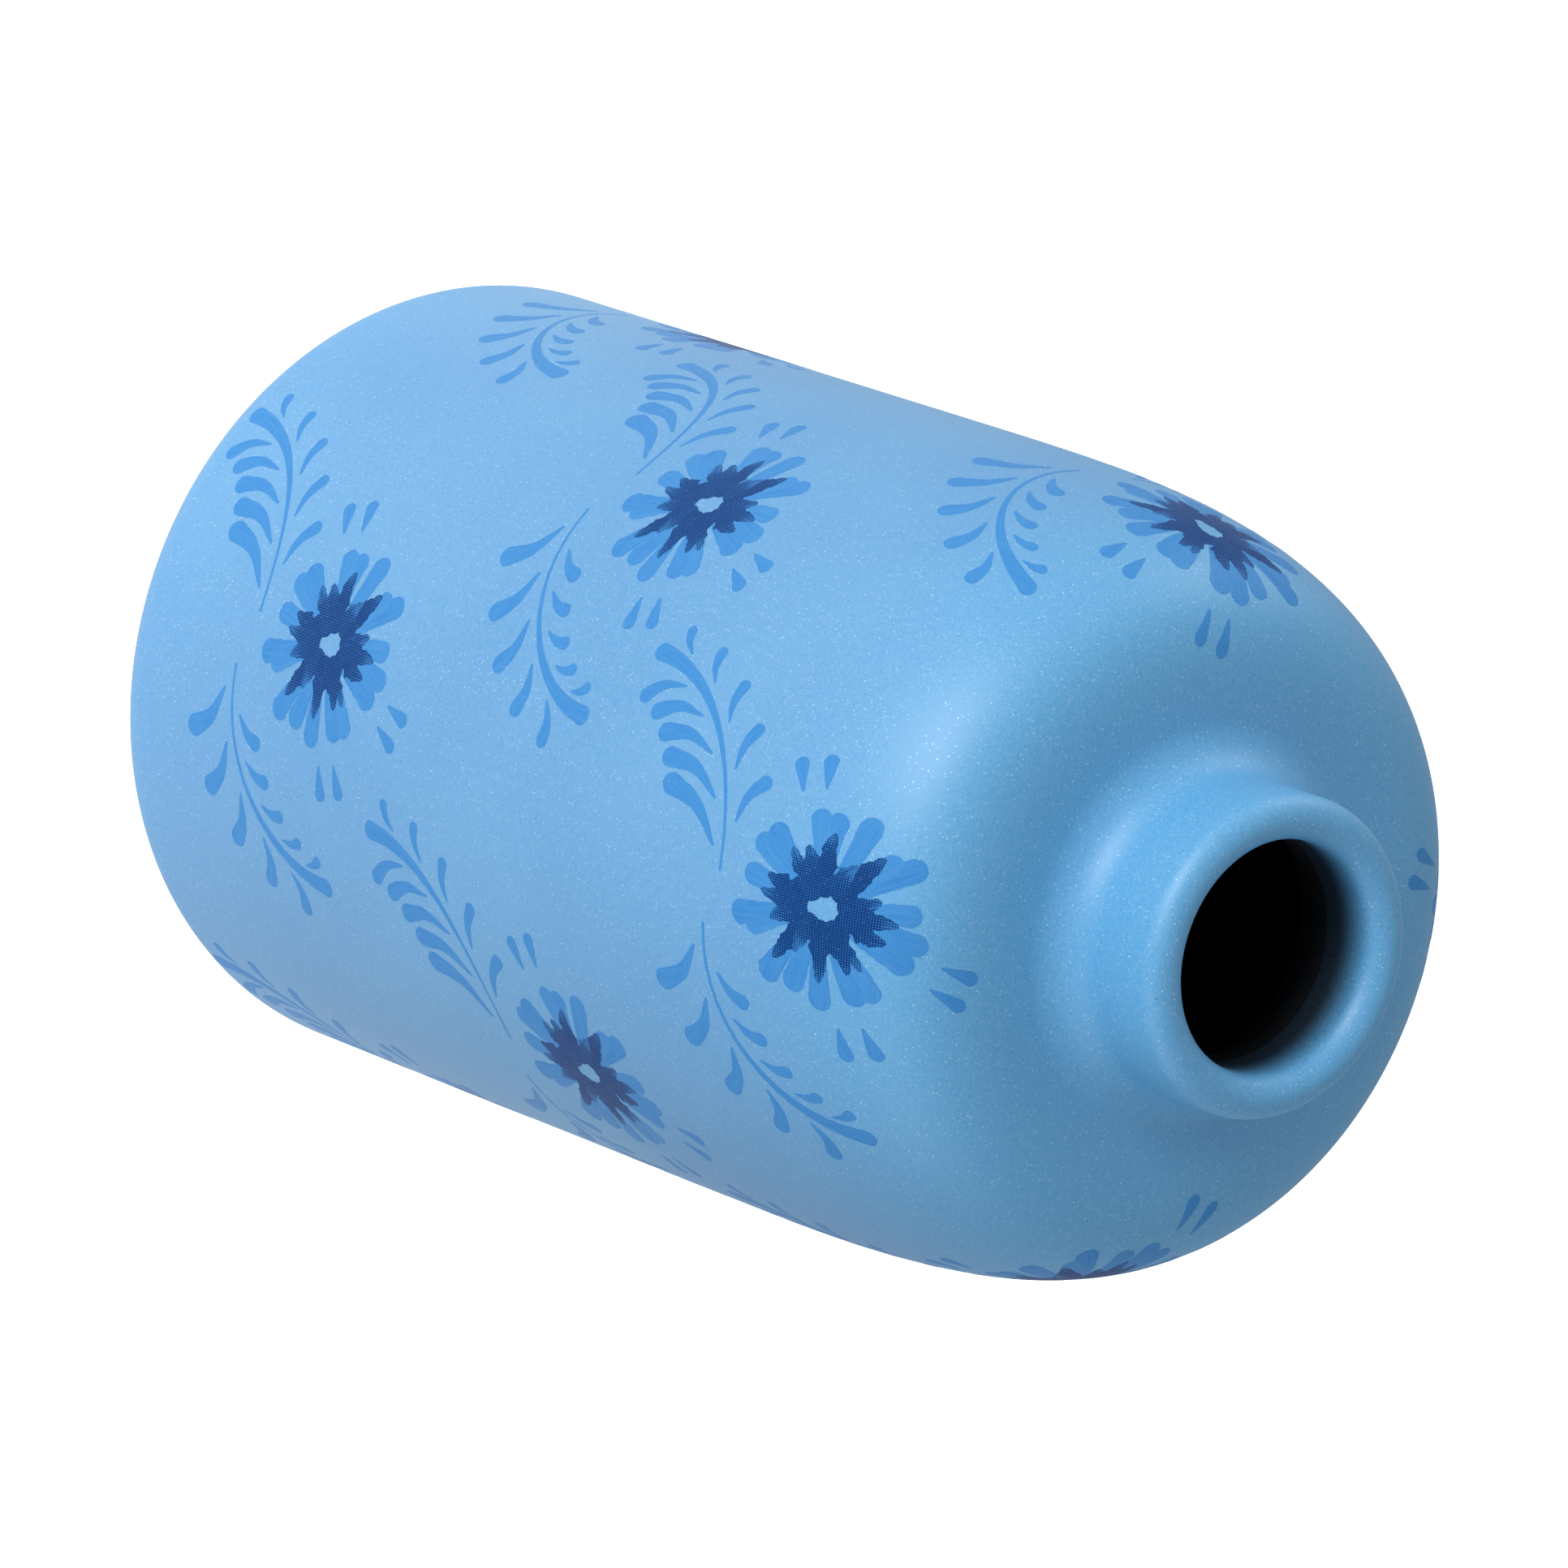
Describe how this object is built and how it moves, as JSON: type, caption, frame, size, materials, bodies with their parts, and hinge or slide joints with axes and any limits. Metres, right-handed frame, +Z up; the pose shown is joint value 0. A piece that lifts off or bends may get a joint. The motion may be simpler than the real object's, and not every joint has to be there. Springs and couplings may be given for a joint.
{
  "type": "ceramic bottle vase",
  "caption": "Slip-cast ceramic bottle vase with a round shoulder, a short thick-lipped neck, light-blue speckled matt glaze and staggered blue flower prints.",
  "frame": {"origin": "centre of the foot ring's resting plane", "axes": "+Z up along the vase's axis to the mouth; -Y is the side towards the viewer, +X to the viewer's right when the vase stands"},
  "size_m": [0.1008, 0.1009, 0.1725],
  "materials": {
    "clay": "bare fired clay, dry and fine-grained, seen only at the foot ring and base",
    "outer_glaze": "satin-matt light-blue glaze with fine pale and dark specks",
    "liner_glaze": "thin dark liner glaze, satin",
    "print": "screen-printed ceramic colour fired on to the glaze, mid blue and navy, fine woven screen texture"
  },
  "bodies": {
    "root": {"clay_body": "clay", "outer_glaze": "outer_glaze", "liner_glaze": "liner_glaze", "flower_print_low_1": "print", "flower_print_low_2": "print", "flower_print_low_3": "print", "flower_print_low_4": "print", "flower_print_middle_1": "print", "flower_print_middle_2": "print", "flower_print_middle_3": "print", "flower_print_middle_4": "print", "flower_print_high_1": "print", "flower_print_high_2": "print", "flower_print_high_3": "print", "flower_print_high_4": "print"}
  },
  "joints": []
}
